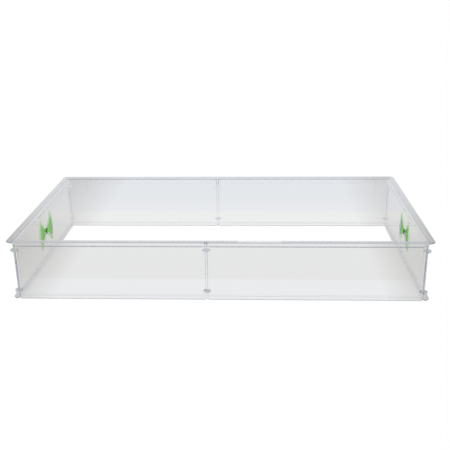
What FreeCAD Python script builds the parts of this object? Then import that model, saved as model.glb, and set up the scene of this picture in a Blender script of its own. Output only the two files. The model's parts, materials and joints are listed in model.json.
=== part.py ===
import FreeCAD, Part
import math
import os

# Cold frame tier: a rectangle of six clear moulded wall panels, pinned together by six vertical
# rods that lift out, with a round butterfly vent in each end wall.  The tier has no lid of its own:
# its stepped top rim takes the lid, or the foot of the next tier.  Each long wall is two panels, of
# which the left one is shorter, so that the middle joints stand a little left of the centre.
#
# Origin: centre of the tier, on the ground plane.  +X runs along the length, +Y to the rear, +Z up.
# All sizes are in millimetres.

Vector = FreeCAD.Vector

# ---- driving dimensions ------------------------------------------------------------------------

# Whole tier, measured over the outer edges of the top rim
LENGTH = 1100.0
WIDTH = 600.0
HEIGHT = 168.0

# Wall sheet and the vertical stiffening beads at its ends
WALL = 3.0
STILE_BEYOND_ROD = 5.8

# Top rim: an outward flange, one step up from a shelf, on a wall that jogs inward below the shelf
RIM_OVERHANG = 14.0
RIM_THICK = 3.0
RIM_STEP = 2.75
SHELF_OUT = 1.0
RIM_DEPTH = 19.0
CORNER_RADIUS = 14.0

# Foot: an inverted channel that nests on the shelf of the tier below
FOOT_DEPTH = 12.5
FOOT_CHANNEL = 1.5     # clear width, between the sheet and the inner rib
END_LEDGE_OVERHANG = 14.0
END_LEDGE_PAST = 4.0

# Rods and the eyes that they pass through
MIDDLE_ROD_X = -31.0
ROD_RADIUS = 3.2
ROD_TIP_HEIGHT = 3.0
HEAD_LIP = 1.6         # the head's reach beyond the rod
HEAD_THICK = 2.9
EYE_RING = 7.2         # the eye's reach beyond the rod
EYE_THICK = 2.4
UPPER_EYE_DROP = 28.5
LOWER_EYE_HEIGHT = 24.3
SEAT_WALL = 2.2        # around the head
SEAT_DEPTH = 4.0
PULL_NOTCH_WIDTH = 9.0
PULL_NOTCH_LENGTH = 11.0

# Moulded marks on the long panels
BUTTON_RADIUS = 3.5
BUTTON_RISE = 1.6
BUTTON_DROP = 37.0
MIDDLE_BUTTON_INSET = 12.5
CORNER_BUTTON_INSET = 18.0
GATE_RADIUS = 2.4
GATE_RING_RADIUS = 9.0
GATE_RING_WIDTH = 0.8
SIDE_GATE_INSET = 75.0     # from the middle rod, on the longer panel
SIDE_GATE_DROP = 70.0
MARK_RISE = 0.4
EJECTOR_RADIUS = 5.0
LEFT_END_EJECTORS = ((25.0, 84.0), (25.0, 49.0))     # each is (distance from the rod, height)
RIGHT_END_EJECTORS = ((17.0, 84.0), (18.0, 32.0))

# Vent: two sector openings and a bow-tie vane that turns on the outside of the wall
VENT_HEIGHT = 86.6
OPENING_RADIUS = 61.0
OPENING_HALF_ANGLE = 33.5
VENT_HUB_RADIUS = 10.5
VANE_MARGIN = 4.0
GUARD_GAP = 1.5
VANE_HALF_ANGLE = 43.8
VANE_THICK = 2.0
VANE_RIM = 1.0
GUARD_WIDTH = 1.5
GUARD_RISE = 1.2
STOP_WIDTH = 2.0
STOP_LENGTH = 5.0
JOURNAL_RADIUS = 4.4
KEY_WIDTH = 7.0
KEY_CORNER_RADIUS = 4.2
NECK_RADIUS = 4.0
SNAP_RADIUS = 5.2
SNAP_THICK = 2.4
KNOB_RADIUS = 9.0
KNOB_HEIGHT = 7.0
KNOB_FLUTES = 8
FLUTE_RADIUS = 1.6
WASHER_RADIUS = 8.5
WASHER_THICK = 0.5
WASHER_DISH = 0.8

# Clearances
SEAM = 0.2            # each rail stops this far short of the plane where two panels meet
EYE_GAP = 0.2         # between the faces of two neighbouring eyes
RUNNING_FIT = 0.05    # radial, between a turning or sliding shaft and its bore
SLACK = 0.4           # radial, around a rod where nothing guides it
BORE_MARGIN = 0.4     # of plastic, between that bore and the edge of the shelf and the foot
HEAD_SLACK = 0.3      # radial, around a rod's head
SEAT_GAP = 0.05       # under a rod's head and between the vent's washer and its neighbours
VANE_GAP = 0.3        # between the vane and the wall

EDGE_RADIUS = 0.6     # on the long edges of a moulding

# ---- places worked out from them ---------------------------------------------------------------

LONG_FACE = WIDTH / 2 - RIM_OVERHANG       # outer faces of the long walls, from the centre
END_FACE = LENGTH / 2 - RIM_OVERHANG       # outer faces of the end walls
HALF_SHELF = ROD_RADIUS + SLACK + BORE_MARGIN
ROD_INSET = HALF_SHELF - SHELF_OUT         # rod axes lie in the middle of the shelf
SHELF_IN = ROD_INSET + HALF_SHELF
ROD_X = END_FACE - ROD_INSET
ROD_Y = LONG_FACE - ROD_INSET
SHELF_TOP = HEIGHT - RIM_STEP
SHELF_UNDER = SHELF_TOP - RIM_THICK
FLANGE_UNDER = HEIGHT - RIM_THICK
JOG_BOTTOM = HEIGHT - RIM_DEPTH
HEAD_SEAT = SHELF_TOP - HEAD_THICK - HEAD_SLACK
HEAD_RADIUS = ROD_RADIUS + HEAD_LIP
SEAT_RADIUS = HEAD_RADIUS + SEAT_WALL
EYE_RADIUS = ROD_RADIUS + EYE_RING
STILE_REACH = ROD_RADIUS + STILE_BEYOND_ROD
STILE_THICK = 2 * ROD_INSET                # its outer face is flush with the wall's
FOOT_RIB_FACE = WALL + FOOT_CHANNEL        # how far in the channel's inner rib begins
UPPER_EYES = HEIGHT - UPPER_EYE_DROP
LEDGE_BOTTOM = RIM_STEP
LEDGE_TOP = RIM_STEP + RIM_THICK
VANE_RADIUS = OPENING_RADIUS + VANE_MARGIN
GUARD_RADIUS = VANE_RADIUS + GUARD_GAP
WIDE = 4 * RIM_OVERHANG                    # reach of a cutting tool well past the material


# ---- helpers -----------------------------------------------------------------------------------
# A wall is drawn with its outer face in the plane y = 0 and its outside towards -y: "along" is x,
# seen from outside from left to right, and "out" is the distance outward from that face.

def slab(along, out, height):
    """Box between two values each of along, out and height."""
    corner = Vector(along[0], -out[1], height[0])
    return Part.makeBox(along[1] - along[0], out[1] - out[0], height[1] - height[0], corner)


def post(along, out, radius, height):
    """Upright cylinder at a place on the wall, between two heights."""
    return Part.makeCylinder(radius, height[1] - height[0], Vector(along, -out, height[0]))


def stub(along, height, radius, out):
    """Cylinder square to the wall, between two distances out."""
    start = Vector(along, -out[0], height)
    return Part.makeCylinder(radius, out[1] - out[0], start, Vector(0, -1, 0))


def rounded_prism(corners, along):
    """Prism along the wall whose section has square corners (out, height), all slightly rounded."""
    points = [Vector(along[0], -out, height) for out, height in corners]
    lead_ins = []
    arcs = []
    for index, corner in enumerate(points):
        back = (points[index - 1] - corner).normalize()
        ahead = (points[(index + 1) % len(points)] - corner).normalize()
        start = corner + back * EDGE_RADIUS
        end = corner + ahead * EDGE_RADIUS
        middle = corner + (back + ahead) * EDGE_RADIUS * (1 - math.sqrt(0.5))
        lead_ins.append(start)
        arcs.append(Part.Arc(start, middle, end))
    edges = []
    for index, arc in enumerate(arcs):
        edges.append(arc.toShape())
        next_start = lead_ins[(index + 1) % len(points)]
        edges.append(Part.LineSegment(arc.EndPoint, next_start).toShape())
    section = Part.Face(Part.Wire(edges))
    return section.extrude(Vector(along[1] - along[0], 0, 0))


def sector(inner, outer, half_angle, middle_angle, out):
    """Ring sector square to the wall about the vent's axis, between two distances out."""
    low = math.radians(middle_angle - half_angle)
    high = math.radians(middle_angle + half_angle)

    def point(radius, angle):
        return Vector(radius * math.cos(angle), -out[0], VENT_HEIGHT + radius * math.sin(angle))

    middle = math.radians(middle_angle)
    outer_arc = Part.Arc(point(outer, low), point(outer, middle), point(outer, high))
    inner_arc = Part.Arc(point(inner, high), point(inner, middle), point(inner, low))
    edges = [
        outer_arc.toShape(),
        Part.LineSegment(point(outer, high), point(inner, high)).toShape(),
        inner_arc.toShape(),
        Part.LineSegment(point(inner, low), point(outer, low)).toShape(),
    ]
    return Part.Face(Part.Wire(edges)).extrude(Vector(0, out[0] - out[1], 0))


def is_upright(edge):
    ends = [vertex.Point for vertex in edge.Vertexes]
    return len(ends) == 2 and abs((ends[1] - ends[0]).z) > 1e-6


def round_ended_plate(half_length, out, height):
    """Flat plate along the wall, with its two outer corners and its outer rim rounded."""
    plate = slab((-half_length, half_length), out, height)
    corners = [edge for edge in plate.Edges if is_upright(edge) and edge.BoundBox.YMin < -out[1] + 0.1]
    plate = plate.makeFillet(CORNER_RADIUS, corners)
    rim = []
    for edge in plate.Edges:
        inner_edge = edge.BoundBox.YMin > -out[0] - 0.1
        if not is_upright(edge) and not inner_edge:
            rim.append(edge)
    return plate.makeFillet(EDGE_RADIUS, rim)


def joined(shapes):
    return shapes[0].fuse(shapes[1:]).removeSplitter()


def placed(shape, face_distance, turn):
    """Moves a wall's drawing to its side of the tier: 0 is the front, then anticlockwise."""
    moved = shape.copy()
    moved.translate(Vector(0, -face_distance, 0))
    moved.rotate(Vector(0, 0, 0), Vector(0, 0, 1), turn)
    return moved


# ---- sections of the wall ----------------------------------------------------------------------

def foot_section():
    """Corners of the foot channel and the lower edge of the wall sheet, up to the channel's top."""
    return [
        (-SHELF_IN, 0),
        (-SHELF_IN, FOOT_DEPTH),
        (0, FOOT_DEPTH),
        (0, 0),
        (-WALL, 0),
        (-WALL, FOOT_DEPTH - RIM_THICK),
        (-FOOT_RIB_FACE, FOOT_DEPTH - RIM_THICK),
        (-FOOT_RIB_FACE, 0),
    ]


def wall_section():
    """Corners of the whole wall: foot channel, sheet, jog, shelf, step and outward flange."""
    return [
        (-SHELF_IN, 0),
        (-SHELF_IN, FOOT_DEPTH),
        (-WALL, FOOT_DEPTH),
        (-WALL, JOG_BOTTOM),
        (-SHELF_IN, JOG_BOTTOM),
        (-SHELF_IN, SHELF_TOP),
        (SHELF_OUT, SHELF_TOP),
        (SHELF_OUT, HEIGHT),
        (RIM_OVERHANG, HEIGHT),
        (RIM_OVERHANG, FLANGE_UNDER),
        (SHELF_OUT + RIM_THICK, FLANGE_UNDER),
        (SHELF_OUT + RIM_THICK, SHELF_UNDER),
        (-SHELF_IN + RIM_THICK, SHELF_UNDER),
        (-SHELF_IN + RIM_THICK, JOG_BOTTOM + RIM_THICK),
        (0, JOG_BOTTOM + RIM_THICK),
        (0, 0),
        (-WALL, 0),
        (-WALL, FOOT_DEPTH - RIM_THICK),
        (-FOOT_RIB_FACE, FOOT_DEPTH - RIM_THICK),
        (-FOOT_RIB_FACE, 0),
    ]


# ---- pinned joints -----------------------------------------------------------------------------
# Seen from outside, each panel has an eye above the meeting plane of the joint at its left end and
# one below it at its right end, at both levels, so that neighbouring eyes lie one on the other.

def stile(end, rod, inward):
    """Stiffening bead at a panel's end, reaching past the rod's axis into the panel."""
    inner = rod + inward * STILE_REACH
    along = (min(end, inner), max(end, inner))
    out = (-ROD_INSET - STILE_THICK / 2, -ROD_INSET + STILE_THICK / 2)
    return slab(along, out, (FOOT_DEPTH - RIM_THICK / 2, JOG_BOTTOM + RIM_THICK / 2))


def eye_levels(is_upper_eye):
    """Heights of a panel's own eyes at one joint, as (bottom, top) pairs."""
    rise = EYE_GAP / 2 if is_upper_eye else -EYE_GAP / 2 - EYE_THICK
    return [(level + rise, level + rise + EYE_THICK) for level in (LOWER_EYE_HEIGHT, UPPER_EYES)]


def eye_pockets(is_upper_eye):
    """Heights that the neighbour's eyes take up in this panel, with slack on their outer faces."""
    pockets = []
    for bottom, top in eye_levels(not is_upper_eye):
        if is_upper_eye:
            pockets.append((bottom - SLACK, top + EYE_GAP))
        else:
            pockets.append((bottom - EYE_GAP, top + SLACK))
    return pockets


def with_joint(panel, end, rod, inward, is_upper_eye, own_region):
    """Adds the bead, eyes and head seat of one pinned joint, and cuts the room its rod needs."""
    seat = post(rod, -ROD_INSET, SEAT_RADIUS, (SHELF_UNDER - SEAT_DEPTH, SHELF_UNDER + RIM_THICK / 2))
    panel = panel.fuse([stile(end, rod, inward), seat.common(own_region)])

    rod_room = ROD_RADIUS + SLACK
    cuts = [post(rod, -ROD_INSET, rod_room, (-1, HEIGHT + 1))]
    cuts.append(post(rod, -ROD_INSET, HEAD_RADIUS + HEAD_SLACK, (HEAD_SEAT, HEIGHT + 1)))
    for pocket in eye_pockets(is_upper_eye):
        cuts.append(post(rod, -ROD_INSET, EYE_RADIUS + SLACK, pocket))
    panel = panel.cut(cuts)

    eyes = [post(rod, -ROD_INSET, EYE_RADIUS, level) for level in eye_levels(is_upper_eye)]
    panel = panel.fuse(eyes)
    bore = post(rod, -ROD_INSET, ROD_RADIUS + RUNNING_FIT, (0, JOG_BOTTOM))
    return panel.cut(bore).removeSplitter()


# ---- long panels -------------------------------------------------------------------------------

def button(along):
    """Low round button on the outside of the wall, a cap of a sphere."""
    ball_radius = (BUTTON_RADIUS ** 2 + BUTTON_RISE ** 2) / (2 * BUTTON_RISE)
    height = HEIGHT - BUTTON_DROP
    ball = Part.makeSphere(ball_radius, Vector(along, ball_radius - BUTTON_RISE, height))
    reach = 2 * BUTTON_RADIUS
    front = slab((along - reach, along + reach), (-WALL / 2, reach), (height - reach, height + reach))
    return ball.common(front)


def gate(along, height):
    """Round stub left where the plastic was let into the mould."""
    return stub(along, height, GATE_RADIUS, (-WALL / 2, MARK_RISE))


def middle_gate(along):
    """Gate in the middle of a panel, with a faint ring around it."""
    ring = stub(along, HEIGHT / 2, GATE_RING_RADIUS, (-WALL / 2, MARK_RISE / 2))
    ring = ring.cut(stub(along, HEIGHT / 2, GATE_RING_RADIUS - GATE_RING_WIDTH, (-WALL, MARK_RISE)))
    return [gate(along, HEIGHT / 2), ring]


def ejector_marks(rod, inward, places):
    """Shallow round recesses left by ejector pins beside one joint."""
    return [
        stub(rod + inward * inset, height, EJECTOR_RADIUS, (-MARK_RISE, WALL))
        for inset, height in places
    ]


def pull_notch(rod):
    """V-shaped notch in the flange, pointing outward, that gives a finger hold on a rod's head."""
    half_width = PULL_NOTCH_WIDTH / 2
    corners = [
        Vector(rod - half_width, -SHELF_OUT + HEAD_RADIUS, SHELF_TOP),
        Vector(rod - half_width, -SHELF_OUT, SHELF_TOP),
        Vector(rod, -SHELF_OUT - PULL_NOTCH_LENGTH, SHELF_TOP),
        Vector(rod + half_width, -SHELF_OUT, SHELF_TOP),
        Vector(rod + half_width, -SHELF_OUT + HEAD_RADIUS, SHELF_TOP),
    ]
    outline = Part.Face(Part.makePolygon(corners + corners[:1]))
    outline.translate(Vector(0, 0, FLANGE_UNDER - SHELF_TOP))
    return outline.extrude(Vector(0, 0, 2 * RIM_THICK))


def long_panel(middle_rod, is_left_half):
    """One half of a long wall, seen from outside, between a corner rod and the middle rod."""
    butt_end = END_FACE - SHELF_IN - SEAM
    if is_left_half:
        left_end, right_end = -butt_end, middle_rod - SEAM
        left_rod, right_rod = -ROD_X, middle_rod
        left_inset, right_inset = CORNER_BUTTON_INSET, MIDDLE_BUTTON_INSET
        away_from_middle = -1
    else:
        left_end, right_end = middle_rod + SEAM, butt_end
        left_rod, right_rod = middle_rod, ROD_X
        left_inset, right_inset = MIDDLE_BUTTON_INSET, CORNER_BUTTON_INSET
        away_from_middle = 1
    panel = rounded_prism(wall_section(), (left_end, right_end))
    own_region = slab((left_end, right_end), (-WIDE, WIDE), (0, HEIGHT))
    panel = with_joint(panel, left_end, left_rod, 1, True, own_region)
    panel = with_joint(panel, right_end, right_rod, -1, False, own_region)

    marks = [button(left_rod + left_inset), button(right_rod - right_inset)]
    marks += middle_gate((left_end + right_end) / 2)
    is_longer_half = right_end - left_end > END_FACE
    if is_longer_half:
        marks.append(gate(middle_rod + away_from_middle * SIDE_GATE_INSET, HEIGHT - SIDE_GATE_DROP))
    cuts = ejector_marks(left_rod, 1, LEFT_END_EJECTORS)
    cuts += ejector_marks(right_rod, -1, RIGHT_END_EJECTORS)
    cuts.append(pull_notch(middle_rod))
    return panel.fuse(marks).cut(cuts).removeSplitter()


# ---- end panels --------------------------------------------------------------------------------

def end_rim(half_length):
    """Rim of an end wall, which runs past its wall and turns both upper corners of the tier."""
    flange = round_ended_plate(half_length, (-SHELF_IN, RIM_OVERHANG), (FLANGE_UNDER, HEIGHT))
    inside = LONG_FACE + SHELF_OUT
    flange = flange.cut(slab((-inside, inside), (-WIDE, SHELF_OUT), (0, HEIGHT + 1)))
    shelf_end = inside + RIM_THICK
    shelf = slab((-shelf_end, shelf_end), (-SHELF_IN, SHELF_OUT + RIM_THICK), (SHELF_UNDER, SHELF_TOP))
    return [flange, shelf]


def end_foot():
    """Foot channel under each lower corner, and the ledge that lies on the rim of the tier below."""
    wall_end = LONG_FACE - SHELF_IN
    right_foot = rounded_prism(foot_section(), (wall_end - WALL, LONG_FACE))
    left_foot = rounded_prism(foot_section(), (-LONG_FACE, WALL - wall_end))
    half_length = LONG_FACE + END_LEDGE_PAST
    ledge = round_ended_plate(half_length, (-WALL / 2, END_LEDGE_OVERHANG), (LEDGE_BOTTOM, LEDGE_TOP))
    return [right_foot, left_foot, ledge]


def vent_guard():
    """Low ring around the vane on the outside of the wall, with two stops a quarter turn apart."""
    ring = stub(0, VENT_HEIGHT, GUARD_RADIUS + GUARD_WIDTH, (-WALL / 2, GUARD_RISE))
    ring = ring.cut(stub(0, VENT_HEIGHT, GUARD_RADIUS, (-WALL, 2 * GUARD_RISE)))
    stops = []
    for angle in (135, 315):
        inner = VANE_RADIUS - STOP_LENGTH
        rise = VANE_GAP + VANE_THICK
        stop = Part.makeBox(GUARD_RADIUS + GUARD_WIDTH / 2 - inner, rise + WALL / 2, STOP_WIDTH)
        stop.translate(Vector(inner, -rise, -STOP_WIDTH / 2))
        stop.rotate(Vector(0, 0, 0), Vector(0, -1, 0), angle)
        stop.translate(Vector(0, 0, VENT_HEIGHT))
        stops.append(stop)
    return [ring] + stops


def vent_cuts():
    """The two sector openings and the bore for the vane's stud."""
    through = (-2 * WALL, 2 * WALL)
    cuts = [stub(0, VENT_HEIGHT, JOURNAL_RADIUS + RUNNING_FIT, through)]
    for side in (0, 180):
        cuts.append(sector(VENT_HUB_RADIUS, OPENING_RADIUS, OPENING_HALF_ANGLE, side, through))
    return cuts


def end_panel():
    """One end wall, with the vent's openings and both corners of the rim and the foot."""
    half_length = WIDTH / 2
    wall_end = LONG_FACE - SHELF_IN
    panel = rounded_prism(wall_section(), (-wall_end, wall_end))
    panel = joined([panel] + end_rim(half_length) + end_foot())
    own_region = slab((-half_length, half_length), (-SHELF_IN, WIDE), (0, HEIGHT))
    panel = with_joint(panel, -wall_end, -ROD_Y, 1, True, own_region)
    panel = with_joint(panel, wall_end, ROD_Y, -1, False, own_region)
    return panel.fuse(vent_guard()).cut(vent_cuts()).removeSplitter()


# ---- rods --------------------------------------------------------------------------------------

def rod(place_x, place_y):
    """Rod with a flat round head, chamfered at both ends."""
    shank_top = HEAD_SEAT + SEAT_GAP
    head_top = shank_top + HEAD_THICK
    chamfer = ROD_RADIUS / 3
    outline = [
        Vector(0, 0, ROD_TIP_HEIGHT),
        Vector(ROD_RADIUS - chamfer, 0, ROD_TIP_HEIGHT),
        Vector(ROD_RADIUS, 0, ROD_TIP_HEIGHT + chamfer),
        Vector(ROD_RADIUS, 0, shank_top),
        Vector(HEAD_RADIUS, 0, shank_top),
        Vector(HEAD_RADIUS, 0, head_top - EDGE_RADIUS),
        Vector(HEAD_RADIUS - EDGE_RADIUS, 0, head_top),
        Vector(0, 0, head_top),
    ]
    half_section = Part.Face(Part.makePolygon(outline + outline[:1]))
    solid = half_section.revolve(Vector(0, 0, 0), Vector(0, 0, 1), 360)
    solid.translate(Vector(place_x, place_y, 0))
    return solid


# ---- vent fittings -----------------------------------------------------------------------------

def vane():
    """Bow-tie vane with a raised rim on its outer face and a square hole for the stud."""
    out = (VANE_GAP, VANE_GAP + VANE_THICK)
    rim_out = (out[0], out[1] + VANE_RIM)
    pieces = [stub(0, VENT_HEIGHT, VENT_HUB_RADIUS + VANE_MARGIN / 2, out)]
    for side in (0, 180):
        pieces.append(sector(JOURNAL_RADIUS, VANE_RADIUS, VANE_HALF_ANGLE, side, out))
        rim_inner = VANE_RADIUS - VANE_THICK
        pieces.append(sector(rim_inner, VANE_RADIUS, VANE_HALF_ANGLE, side, rim_out))
    half_key = KEY_WIDTH / 2 + RUNNING_FIT
    key_hole = slab((-half_key, half_key), (-WALL, 2 * WALL), (VENT_HEIGHT - half_key, VENT_HEIGHT + half_key))
    return joined(pieces).cut(key_hole)


def fluted_knob():
    """Round knob outside the vane, with finger flutes around it."""
    bottom = VANE_GAP + VANE_THICK
    knob = stub(0, VENT_HEIGHT, KNOB_RADIUS, (bottom, bottom + KNOB_HEIGHT))
    face = [edge for edge in knob.Edges if edge.BoundBox.YMax < -bottom - KNOB_HEIGHT / 2]
    knob = knob.makeFillet(2 * EDGE_RADIUS, face)
    flutes = []
    for index in range(KNOB_FLUTES):
        angle = 2 * math.pi * index / KNOB_FLUTES
        reach = KNOB_RADIUS + FLUTE_RADIUS / 2
        height = VENT_HEIGHT + reach * math.sin(angle)
        flutes.append(stub(reach * math.cos(angle), height, FLUTE_RADIUS, (0, 2 * KNOB_HEIGHT)))
    return knob.cut(flutes)


def washer_seat():
    """How far out the washer's inner edge lies, on the inside of the wall."""
    return -WALL - SEAT_GAP - WASHER_DISH - WASHER_THICK


def stud():
    """Knob, square key, journal, neck and snap head on one axis, from outside to inside."""
    key_out = (0, VANE_GAP + VANE_THICK)
    half_key = KEY_WIDTH / 2
    key = slab((-half_key, half_key), key_out, (VENT_HEIGHT - half_key, VENT_HEIGHT + half_key))
    round_key = key.common(stub(0, VENT_HEIGHT, KEY_CORNER_RADIUS, key_out))
    journal = stub(0, VENT_HEIGHT, JOURNAL_RADIUS, (-WALL, 0))
    neck_end = washer_seat() - SEAT_GAP
    neck = stub(0, VENT_HEIGHT, NECK_RADIUS, (neck_end, -WALL))
    head = stub(0, VENT_HEIGHT, SNAP_RADIUS, (neck_end - SNAP_THICK, neck_end))
    rim = [edge for edge in head.Edges if edge.BoundBox.YMin > -neck_end + SNAP_THICK / 2]
    head = head.makeFillet(SNAP_THICK / 2, rim)
    return joined([fluted_knob(), round_key, journal, neck, head])


def washer():
    """Dished spring washer: its rim bears on the wall, and its middle on the stud's snap head."""
    inner = NECK_RADIUS + RUNNING_FIT
    rim_out = -WALL - SEAT_GAP
    outline = [
        Vector(inner, -rim_out + WASHER_DISH, VENT_HEIGHT),
        Vector(WASHER_RADIUS, -rim_out, VENT_HEIGHT),
        Vector(WASHER_RADIUS, -rim_out + WASHER_THICK, VENT_HEIGHT),
        Vector(inner, -rim_out + WASHER_DISH + WASHER_THICK, VENT_HEIGHT),
    ]
    half_section = Part.Face(Part.makePolygon(outline + outline[:1]))
    return half_section.revolve(Vector(0, 0, VENT_HEIGHT), Vector(0, -1, 0), 360)


# ---- assembly ----------------------------------------------------------------------------------

FRONT, RIGHT, REAR, LEFT = 0, 90, 180, 270

PARTS = {
    "front_left_panel": placed(long_panel(MIDDLE_ROD_X, True), LONG_FACE, FRONT),
    "front_right_panel": placed(long_panel(MIDDLE_ROD_X, False), LONG_FACE, FRONT),
    "rear_right_panel": placed(long_panel(-MIDDLE_ROD_X, True), LONG_FACE, REAR),
    "rear_left_panel": placed(long_panel(-MIDDLE_ROD_X, False), LONG_FACE, REAR),
}

for side_name, turn in (("left", LEFT), ("right", RIGHT)):
    PARTS[side_name + "_end_panel"] = placed(end_panel(), END_FACE, turn)
    PARTS[side_name + "_vent_vane"] = placed(vane(), END_FACE, turn)
    PARTS[side_name + "_vent_stud"] = placed(stud(), END_FACE, turn)
    PARTS[side_name + "_vent_washer"] = placed(washer(), END_FACE, turn)

for row_name, rod_y in (("front", -ROD_Y), ("rear", ROD_Y)):
    for column_name, rod_x in (("left", -ROD_X), ("middle", MIDDLE_ROD_X), ("right", ROD_X)):
        PARTS[row_name + "_" + column_name + "_rod"] = rod(rod_x, rod_y)

os.makedirs("parts", exist_ok=True)
for name, shape in PARTS.items():
    print(name, "solids", len(shape.Solids), "valid", shape.isValid(), "volume", round(shape.Volume))
    shape.exportStep("parts/" + name + ".step")
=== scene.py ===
import json
import math

import bpy
from mathutils import Matrix, Vector

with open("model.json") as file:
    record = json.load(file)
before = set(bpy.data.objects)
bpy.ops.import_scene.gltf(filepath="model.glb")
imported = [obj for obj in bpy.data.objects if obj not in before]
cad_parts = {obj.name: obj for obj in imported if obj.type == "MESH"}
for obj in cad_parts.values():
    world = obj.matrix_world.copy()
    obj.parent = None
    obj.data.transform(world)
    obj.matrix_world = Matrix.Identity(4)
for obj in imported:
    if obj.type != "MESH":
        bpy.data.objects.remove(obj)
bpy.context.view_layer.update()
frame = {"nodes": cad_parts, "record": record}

MM = 0.001

# ---- camera ------------------------------------------------------------------------------------
# It stands in front of the tier, a little right of the middle, and looks down across it.

CAMERA_PLACE = Vector((0.099, -1.943, 0.820))
CAMERA_DOWN = math.radians(20.17)
CAMERA_LEFT = math.radians(2.76)
CAMERA_ROLL = math.radians(-0.86)
LENS_MM = 55.7
SENSOR_MM = 36.0


def make_camera():
    """Camera whose view direction is turned left about Z, tipped down, then rolled about itself."""
    forward = Vector((
        -math.sin(CAMERA_LEFT) * math.cos(CAMERA_DOWN),
        math.cos(CAMERA_LEFT) * math.cos(CAMERA_DOWN),
        -math.sin(CAMERA_DOWN),
    ))
    level_right = Vector((math.cos(CAMERA_LEFT), math.sin(CAMERA_LEFT), 0))
    level_up = level_right.cross(forward)
    right = math.cos(CAMERA_ROLL) * level_right + math.sin(CAMERA_ROLL) * level_up
    up = math.cos(CAMERA_ROLL) * level_up - math.sin(CAMERA_ROLL) * level_right
    turn = Matrix((right, up, -forward)).transposed()
    data = bpy.data.cameras.new("camera")
    data.lens = LENS_MM
    data.sensor_width = SENSOR_MM
    camera = bpy.data.objects.new("camera", data)
    camera.matrix_world = Matrix.Translation(CAMERA_PLACE) @ turn.to_4x4()
    bpy.context.scene.collection.objects.link(camera)
    bpy.context.scene.camera = camera


# ---- colours and nodes -------------------------------------------------------------------------

def linear(hex_colour):
    """Turns an sRGB hex colour into linear red, green, blue and an alpha of 1."""
    channels = [int(hex_colour[i:i + 2], 16) / 255 for i in (1, 3, 5)]
    return [c / 12.92 if c <= 0.04045 else ((c + 0.055) / 1.055) ** 2.4 for c in channels] + [1.0]


def add(tree, kind, inputs=None, **settings):
    """Adds one node: settings are its properties, and inputs are values or sockets to link."""
    made = tree.nodes.new(kind)
    for name, value in settings.items():
        setattr(made, name, value)
    for name, value in (inputs or {}).items():
        if isinstance(value, bpy.types.NodeSocket):
            tree.links.new(value, made.inputs[name])
        else:
            made.inputs[name].default_value = value
    return made


def new_material(name):
    """An empty material with its node tree and output node."""
    material = bpy.data.materials.new(name)
    material.use_nodes = True
    tree = material.node_tree
    tree.nodes.clear()
    return material, tree, tree.nodes.new("ShaderNodeOutputMaterial")


# ---- materials ---------------------------------------------------------------------------------

POLYSTYRENE_IOR = 1.58
BLUING = "#b4bcd6"            # the blue that is added to clear plastic against yellowing
BLUING_PER_METRE = 2.5
PANEL_RIPPLE_MM = 150         # sink and flow of a large thin moulding, very long and very shallow
ROD_RIPPLE_MM = 60            # the extruder's slow pulsing
RIPPLE_HEIGHT_MM = 0.002

POLYPROPYLENE_IOR = 1.49
VANE_GLOW = 0.45              # share of the light that comes through the thin vane
VANE_FLOW_MM = 25
VANE_GRAIN_MM = 0.8           # too fine to be seen singly: it only softens the gloss
VANE_GRAIN_HEIGHT_MM = 0.03
STUD_FLOW_MM = 6
STUD_GRAIN_MM = 0.5           # likewise
STUD_GRAIN_HEIGHT_MM = 0.02
OXIDE_PATCH_MM = 3


def per_metre(size_mm):
    """Scale of a pattern whose features are about this many millimetres across."""
    return 1 / (size_mm * MM)


def clear_plastic(name, ripple_mm):
    """Clear polystyrene: bright, hard-edged and colourless where it is thin.

    It bends and mirrors the light, so rims, beads and rods show as fine dark and bright lines. Its
    bluing shows only where light runs far along inside a sheet. Lamps shine straight through it.
    """
    material, tree, output = new_material(name)
    place = add(tree, "ShaderNodeTexCoord").outputs["Object"]
    ripples = add(tree, "ShaderNodeTexNoise", {
        "Vector": place, "Scale": per_metre(ripple_mm), "Detail": 2.0, "Roughness": 0.4})
    bump = add(tree, "ShaderNodeBump", {
        "Height": ripples.outputs["Fac"], "Distance": RIPPLE_HEIGHT_MM * MM, "Strength": 1.0})
    plastic = add(tree, "ShaderNodeBsdfPrincipled", {
        "Base Color": linear("#ffffff"), "Transmission Weight": 1.0, "IOR": POLYSTYRENE_IOR,
        "Roughness": 0.0, "Normal": bump.outputs["Normal"]})
    lamp_light = add(tree, "ShaderNodeBsdfTransparent", {"Color": linear("#ffffff")})
    rays = add(tree, "ShaderNodeLightPath")
    mixed = add(tree, "ShaderNodeMixShader", {
        0: rays.outputs["Is Shadow Ray"], 1: plastic.outputs[0], 2: lamp_light.outputs[0]})
    tree.links.new(mixed.outputs[0], output.inputs["Surface"])
    bluing = add(tree, "ShaderNodeVolumeAbsorption", {
        "Color": linear(BLUING), "Density": BLUING_PER_METRE})
    tree.links.new(bluing.outputs[0], output.inputs["Volume"])
    return material


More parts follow.
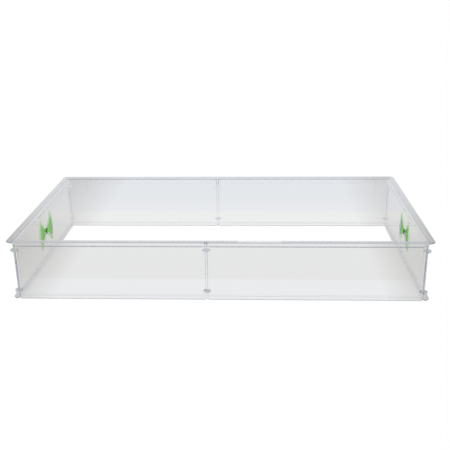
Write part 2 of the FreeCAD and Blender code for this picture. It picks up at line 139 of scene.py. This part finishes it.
def green_vane_plastic():
    """Translucent green polypropylene, moulded thin.

    It glows a fresh light green where light comes through it, and its fine grain gives it a satin
    sheen in place of sharp glints.
    """
    material, tree, output = new_material("translucent green moulded polypropylene")
    place = add(tree, "ShaderNodeTexCoord").outputs["Object"]
    flow = add(tree, "ShaderNodeTexNoise", {
        "Vector": place, "Scale": per_metre(VANE_FLOW_MM), "Detail": 3.0})
    colour = add(tree, "ShaderNodeMix", {
        "Factor": flow.outputs["Fac"], 6: linear("#8ed062"), 7: linear("#a8de80")},
        data_type="RGBA")
    grain = add(tree, "ShaderNodeTexNoise", {
        "Vector": place, "Scale": per_metre(VANE_GRAIN_MM), "Detail": 2.0})
    bump = add(tree, "ShaderNodeBump", {
        "Height": grain.outputs["Fac"], "Distance": VANE_GRAIN_HEIGHT_MM * MM, "Strength": 0.6})
    body = add(tree, "ShaderNodeBsdfPrincipled", {
        "Base Color": colour.outputs[2], "Roughness": 0.35, "IOR": POLYPROPYLENE_IOR,
        "Normal": bump.outputs["Normal"]})
    glow = add(tree, "ShaderNodeBsdfTranslucent", {"Color": colour.outputs[2]})
    mixed = add(tree, "ShaderNodeMixShader", {
        0: VANE_GLOW, 1: body.outputs[0], 2: glow.outputs[0]})
    tree.links.new(mixed.outputs[0], output.inputs["Surface"])
    return material


def green_stud_plastic():
    """Bright green polypropylene, moulded thick: a deep glossy green with small soft glints."""
    material, tree, output = new_material("bright green moulded polypropylene")
    place = add(tree, "ShaderNodeTexCoord").outputs["Object"]
    flow = add(tree, "ShaderNodeTexNoise", {
        "Vector": place, "Scale": per_metre(STUD_FLOW_MM), "Detail": 3.0})
    colour = add(tree, "ShaderNodeMix", {
        "Factor": flow.outputs["Fac"], 6: linear("#46c81f"), 7: linear("#5ddc31")},
        data_type="RGBA")
    grain = add(tree, "ShaderNodeTexNoise", {
        "Vector": place, "Scale": per_metre(STUD_GRAIN_MM), "Detail": 2.0})
    bump = add(tree, "ShaderNodeBump", {
        "Height": grain.outputs["Fac"], "Distance": STUD_GRAIN_HEIGHT_MM * MM, "Strength": 0.5})
    body = add(tree, "ShaderNodeBsdfPrincipled", {
        "Base Color": colour.outputs[2], "Roughness": 0.28, "IOR": POLYPROPYLENE_IOR,
        "Normal": bump.outputs["Normal"]})
    tree.links.new(body.outputs[0], output.inputs["Surface"])
    return material


def spring_steel():
    """Spring steel, stamped and tempered: a dark brown metal, patchy and glossier where darkest."""
    material, tree, output = new_material("browned spring steel")
    place = add(tree, "ShaderNodeTexCoord").outputs["Object"]
    oxide = add(tree, "ShaderNodeTexNoise", {
        "Vector": place, "Scale": per_metre(OXIDE_PATCH_MM), "Detail": 5.0})
    colour = add(tree, "ShaderNodeMix", {
        "Factor": oxide.outputs["Fac"], 6: linear("#4a342c"), 7: linear("#8a776c")},
        data_type="RGBA")
    rough = add(tree, "ShaderNodeMapRange", {
        "Value": oxide.outputs["Fac"], "To Min": 0.25, "To Max": 0.5})
    body = add(tree, "ShaderNodeBsdfPrincipled", {
        "Base Color": colour.outputs[2], "Metallic": 1.0, "Roughness": rough.outputs["Result"]})
    tree.links.new(body.outputs[0], output.inputs["Surface"])
    return material


def finish_nodes():
    """Gives every CAD node the material of its slot."""
    finishes = {
        "clear_panel": clear_plastic("injection-moulded clear polystyrene", PANEL_RIPPLE_MM),
        "clear_rod": clear_plastic("extruded clear polystyrene rod", ROD_RIPPLE_MM),
        "green_vane": green_vane_plastic(),
        "green_stud": green_stud_plastic(),
        "spring_steel": spring_steel(),
    }
    for part in frame["record"]["subparts"]:
        obj = frame["nodes"][part["node"]]
        obj.data.materials.clear()
        obj.data.materials.append(finishes[part["material_slot"]])


# ---- studio ------------------------------------------------------------------------------------
# The floor and the backdrop are burnt out to white where they are seen directly.  Seen through or
# in the plastic they are pale grey, which is what makes clear walls visible on white; the floor's
# grey carries painted light in bands beside the long walls and painted shade past the ends.

FLOOR_HALF = 30.0
# The brighter bands beside both long walls, from -0.29 to -0.16 and from 0.29 to 0.425, are painted
# light, as if the walls mirrored light down beside themselves; the other stops are plain pale grey
# tones.
# Each is (distance behind the tier's centre in metres, colour of the floor there)
FLOOR_TONES_WITH_PAINTED_LIGHT = [
    (-0.60, "#e8e9e7"),
    (-0.29, "#ebeced"),
    (-0.16, "#ebeced"),
    (-0.15, "#e5e6e5"),
    (0.10, "#e6e7e7"),
    (0.29, "#eeefef"),
    (0.425, "#eeefef"),
    (0.435, "#e9ebee"),
    (0.62, "#e5e8ec"),
]
SIDE_PAINTED_SHADE = "#b4b2ad"             # painted shade on the floor past both ends of the tier
SIDE_BEGINS = 0.44                # distance from the centre line, along X
SIDE_FULL = 0.66
SIDE_NEAR = 0.1                   # in front of here, along Y, the painted side shade is at its full share
SIDE_FAR = 0.5                    # behind here it has its smallest share
SIDE_FAR_SHARE = 0.55

ROOM_HORIZON = "#e8eaee"
ROOM_OVERHEAD = "#5a6074"
ROOM_DARKENS = 0.28               # sine of the height above the horizon
ROOM_DARK = 0.46
BURNT_OUT = "#ffffff"

# Each is (name, place, target, width, height, watts), in metres
SOFTBOXES = [
    ("key softbox", (1.2, -1.6, 2.0), (0, 0, 0.1), 0.8, 0.8, 40),
    ("fill softbox", (-1.5, -1.2, 1.8), (0, 0, 0.1), 0.7, 0.7, 20),
    ("top softbox", (0.1, 0.9, 2.4), (0, 0, 0), 1.2, 0.6, 30),
    ("rim strip", (0.12, 2.5, 1.25), (0, 0, 0.16), 0.3, 0.5, 0.4),
]

LIGHT_BOUNCES = 96                # light is mirrored many times along inside a rim
DIRECT_CLAMP = 1.5
BOUNCED_CLAMP = 1.2


def floor_tone(tree):
    """Socket of the floor's colour: tones by distance, with painted light in bands beside the long
    walls, mixed with a darker painted shade past the ends.
    """
    place = add(tree, "ShaderNodeTexCoord").outputs["Object"]
    parts = add(tree, "ShaderNodeSeparateXYZ", {"Vector": place})
    first, last = FLOOR_TONES_WITH_PAINTED_LIGHT[0][0], FLOOR_TONES_WITH_PAINTED_LIGHT[-1][0]
    depth = add(tree, "ShaderNodeMapRange", {
        "Value": parts.outputs["Y"], "From Min": first, "From Max": last})
    tones = add(tree, "ShaderNodeValToRGB", {"Fac": depth.outputs["Result"]})
    stops = tones.color_ramp.elements
    while len(stops) < len(FLOOR_TONES_WITH_PAINTED_LIGHT):
        stops.new(1.0)
    for stop, (distance, colour) in zip(stops, FLOOR_TONES_WITH_PAINTED_LIGHT):
        stop.position = (distance - first) / (last - first)
        stop.color = linear(colour)
    # The painted shade past both ends: its share grows with distance along X and falls off behind
    # the tier.
    aside = add(tree, "ShaderNodeMath", {0: parts.outputs["X"]}, operation="ABSOLUTE")
    beside = add(tree, "ShaderNodeMapRange", {
        "Value": aside.outputs[0], "From Min": SIDE_BEGINS, "From Max": SIDE_FULL})
    nearness = add(tree, "ShaderNodeMapRange", {
        "Value": parts.outputs["Y"], "From Min": SIDE_NEAR, "From Max": SIDE_FAR,
        "To Min": 1.0, "To Max": SIDE_FAR_SHARE})
    painted_shade_share = add(tree, "ShaderNodeMath", {
        0: beside.outputs["Result"], 1: nearness.outputs["Result"]}, operation="MULTIPLY")
    shade = add(tree, "ShaderNodeMix", {
        "Factor": painted_shade_share.outputs[0], 6: tones.outputs["Color"], 7: linear(SIDE_PAINTED_SHADE)},
        data_type="RGBA")
    return shade.outputs[2]


def make_floor():
    """A flat white paper floor, lit so evenly that it is drawn as its own brightness. It is white
    to the camera; to all other rays it glows with its tones, painted light and painted shade among
    them.
    """
    material, tree, output = new_material("white studio floor with painted light and shade")
    # Seen through or in the plastic, the floor glows with its tones, including the painted light
    # beside the long walls and the painted shade past the ends.
    paper = add(tree, "ShaderNodeEmission", {"Color": floor_tone(tree), "Strength": 1.0})
    burnt_out = add(tree, "ShaderNodeEmission", {"Color": linear(BURNT_OUT), "Strength": 1.0})
    rays = add(tree, "ShaderNodeLightPath")
    mixed = add(tree, "ShaderNodeMixShader", {
        0: rays.outputs["Is Camera Ray"], 1: paper.outputs[0], 2: burnt_out.outputs[0]})
    tree.links.new(mixed.outputs[0], output.inputs["Surface"])
    data = bpy.data.meshes.new("floor")
    corners = [(x * FLOOR_HALF, y * FLOOR_HALF, 0) for x, y in ((-1, -1), (1, -1), (1, 1), (-1, 1))]
    data.from_pydata(corners, [], [(0, 1, 2, 3)])
    data.materials.append(material)
    floor = bpy.data.objects.new("floor", data)
    bpy.context.scene.collection.objects.link(floor)


def softbox(name, place, target, width, height, watts):
    """A rectangular soft light at one place, facing another.

    Surfaces mirror it, but it is hidden from light that has gone through plastic, as it would
    otherwise turn into stray bright dots in every rim.
    """
    data = bpy.data.lights.new(name, "AREA")
    data.shape = "RECTANGLE"
    data.size = width
    data.size_y = height
    data.energy = watts
    light = bpy.data.objects.new(name, data)
    direction = Vector(target) - Vector(place)
    turn = direction.to_track_quat("-Z", "Y").to_matrix().to_4x4()
    light.matrix_world = Matrix.Translation(place) @ turn
    light.visible_transmission = False
    bpy.context.scene.collection.objects.link(light)


def make_room():
    """A white backdrop in a room that is light near the horizon and bluish grey overhead.

    Rims and rods bend and mirror the upper part of the room, so it draws their dark lines.
    """
    world = bpy.data.worlds.new("studio")
    bpy.context.scene.world = world
    world.use_nodes = True
    tree = world.node_tree
    direction = add(tree, "ShaderNodeTexCoord").outputs["Generated"]
    up = add(tree, "ShaderNodeSeparateXYZ", {"Vector": direction}).outputs["Z"]
    height = add(tree, "ShaderNodeMapRange", {
        "Value": up, "From Min": ROOM_DARKENS, "From Max": ROOM_DARK})
    room = add(tree, "ShaderNodeMix", {
        "Factor": height.outputs["Result"], 6: linear(ROOM_HORIZON), 7: linear(ROOM_OVERHEAD)},
        data_type="RGBA")
    rays = add(tree, "ShaderNodeLightPath")
    seen = add(tree, "ShaderNodeMix", {
        "Factor": rays.outputs["Is Camera Ray"], 6: room.outputs[2], 7: linear(BURNT_OUT)},
        data_type="RGBA")
    tree.links.new(seen.outputs[2], tree.nodes["Background"].inputs["Color"])


def follow_light():
    """Settings for light in clear plastic.

    Light is followed far enough for the rims. Very bright samples are cut, as each would leave a
    stray white dot. Glossy blur would smear what is seen through a wall, so there is none, and the
    noise is taken out by colour alone, as a clear surface says nothing of what lies behind it.
    """
    bpy.context.scene.view_settings.view_transform = "Standard"
    cycles = bpy.context.scene.cycles
    cycles.max_bounces = LIGHT_BOUNCES
    cycles.transmission_bounces = LIGHT_BOUNCES
    cycles.glossy_bounces = LIGHT_BOUNCES
    cycles.transparent_max_bounces = LIGHT_BOUNCES
    cycles.sample_clamp_direct = DIRECT_CLAMP
    cycles.sample_clamp_indirect = BOUNCED_CLAMP
    cycles.blur_glossy = 0.0
    cycles.denoising_input_passes = "RGB"


follow_light()
make_camera()
finish_nodes()
make_floor()
make_room()
for box in SOFTBOXES:
    softbox(*box)
